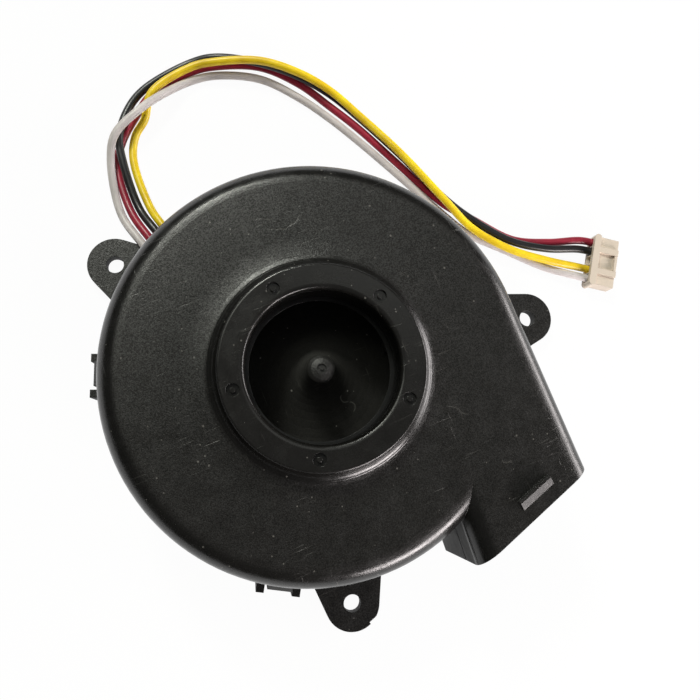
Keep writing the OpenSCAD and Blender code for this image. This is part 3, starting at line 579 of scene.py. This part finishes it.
FLOOR_HALF, FLOOR_DROP = 3.0, 0.00002
FLOOR_PAINT, FLOOR_GLOW = 0.9, 0.96
WALL_LIGHT, CEILING_LIGHT = 0.035, 0.11
WALL_TOP, CEILING = 0.3, 1.0
WHITE = (1.0, 1.0, 1.0, 1.0)
LAMP_AIM = (0, 0, 0.015)
LAMPS = {
    "key": dict(at=(-0.003, 0.437, 0.409), size=(0.1, 0.1), watts=1.9, colour=(0.98, 1.0, 0.91)),
    "overhead": dict(at=(-0.124, 0.382, 0.573), size=(0.3, 0.3), watts=0.85, colour=(0.98, 1.0, 0.89)),
    "fill": dict(at=(0.253, 0.199, 0.618), size=(0.3, 0.3), watts=0.2, colour=(0.98, 1.0, 0.95)),
    "low_front": dict(at=(0.158, -0.547, 0.17), size=(0.35, 0.15), watts=4.0, colour=(1.0, 0.93, 0.92)),
    "low_right": dict(at=(0.536, -0.171, 0.15), size=(0.5, 0.2), watts=3.2, colour=(1.0, 0.95, 0.94)),
}


def add_floor():
    """White floor: it glows to the camera, to gloss and to glass, and keeps a little of the shadow"""
    me = bpy.data.meshes.new("floor")
    s = FLOOR_HALF
    me.from_pydata([(-s, -s, 0), (s, -s, 0), (s, s, 0), (-s, s, 0)], [], [(0, 1, 2, 3)])
    floor = bpy.data.objects.new("floor", me)
    floor.location.z = -FLOOR_DROP
    scene.collection.objects.link(floor)
    mat = bpy.data.materials.new("floor_white")
    mat.use_nodes = True
    t = mat.node_tree
    t.nodes.clear()
    out = t.nodes.new("ShaderNodeOutputMaterial")
    mix = t.nodes.new("ShaderNodeMixShader")
    paint = t.nodes.new("ShaderNodeBsdfDiffuse")
    paint.inputs["Color"].default_value = (FLOOR_PAINT, FLOOR_PAINT, FLOOR_PAINT, 1)
    glow = t.nodes.new("ShaderNodeEmission")
    glow.inputs["Strength"].default_value = 1.0
    path = t.nodes.new("ShaderNodeLightPath")
    direct = t.nodes.new("ShaderNodeMath")
    direct.operation = "MAXIMUM"
    seen = t.nodes.new("ShaderNodeMath")
    seen.operation = "MAXIMUM"
    share = t.nodes.new("ShaderNodeMath")
    share.operation = "MULTIPLY"
    share.inputs[1].default_value = FLOOR_GLOW
    t.links.new(path.outputs["Is Camera Ray"], direct.inputs[0])
    t.links.new(path.outputs["Is Glossy Ray"], direct.inputs[1])
    t.links.new(direct.outputs[0], seen.inputs[0])
    t.links.new(path.outputs["Is Transmission Ray"], seen.inputs[1])
    t.links.new(seen.outputs[0], share.inputs[0])
    t.links.new(share.outputs[0], mix.inputs[0])
    t.links.new(paint.outputs[0], mix.inputs[1])
    t.links.new(glow.outputs[0], mix.inputs[2])
    t.links.new(mix.outputs[0], out.inputs[0])
    me.materials.append(mat)


def add_world():
    """Soft room light: dim walls, brighter ceiling; the camera sees white"""
    world = bpy.data.worlds.new("studio")
    scene.world = world
    world.use_nodes = True
    t = world.node_tree
    t.nodes.clear()
    out = t.nodes.new("ShaderNodeOutputWorld")
    mix = t.nodes.new("ShaderNodeMixShader")
    soft = t.nodes.new("ShaderNodeBackground")
    soft.inputs["Color"].default_value = WHITE
    coords = t.nodes.new("ShaderNodeTexCoord")
    part = t.nodes.new("ShaderNodeSeparateXYZ")
    rise = t.nodes.new("ShaderNodeMapRange")
    rise.inputs["From Min"].default_value = WALL_TOP
    rise.inputs["From Max"].default_value = CEILING
    rise.inputs["To Min"].default_value = WALL_LIGHT
    rise.inputs["To Max"].default_value = CEILING_LIGHT
    t.links.new(coords.outputs["Generated"], part.inputs[0])
    t.links.new(part.outputs["Z"], rise.inputs["Value"])
    t.links.new(rise.outputs[0], soft.inputs["Strength"])
    white = t.nodes.new("ShaderNodeBackground")
    white.inputs["Color"].default_value = WHITE
    white.inputs["Strength"].default_value = 1.0
    path = t.nodes.new("ShaderNodeLightPath")
    t.links.new(path.outputs["Is Camera Ray"], mix.inputs[0])
    t.links.new(soft.outputs[0], mix.inputs[1])
    t.links.new(white.outputs[0], mix.inputs[2])
    t.links.new(mix.outputs[0], out.inputs[0])


def add_lamp(name, at, size, watts, colour):
    """Softbox that faces the fan: place, width and height of its cloth, power, colour"""
    data = bpy.data.lights.new(name, "AREA")
    data.shape = "RECTANGLE"
    data.size, data.size_y = size
    data.energy = watts
    data.color = colour
    lamp = bpy.data.objects.new(name, data)
    lamp.location = at
    aim = Vector(LAMP_AIM) - Vector(at)
    lamp.rotation_mode = "QUATERNION"
    lamp.rotation_quaternion = aim.to_track_quat("-Z", "Y")
    scene.collection.objects.link(lamp)


add_floor()
add_world()
for name, values in LAMPS.items():
    add_lamp(name, **values)
scene.view_settings.view_transform = "Standard"
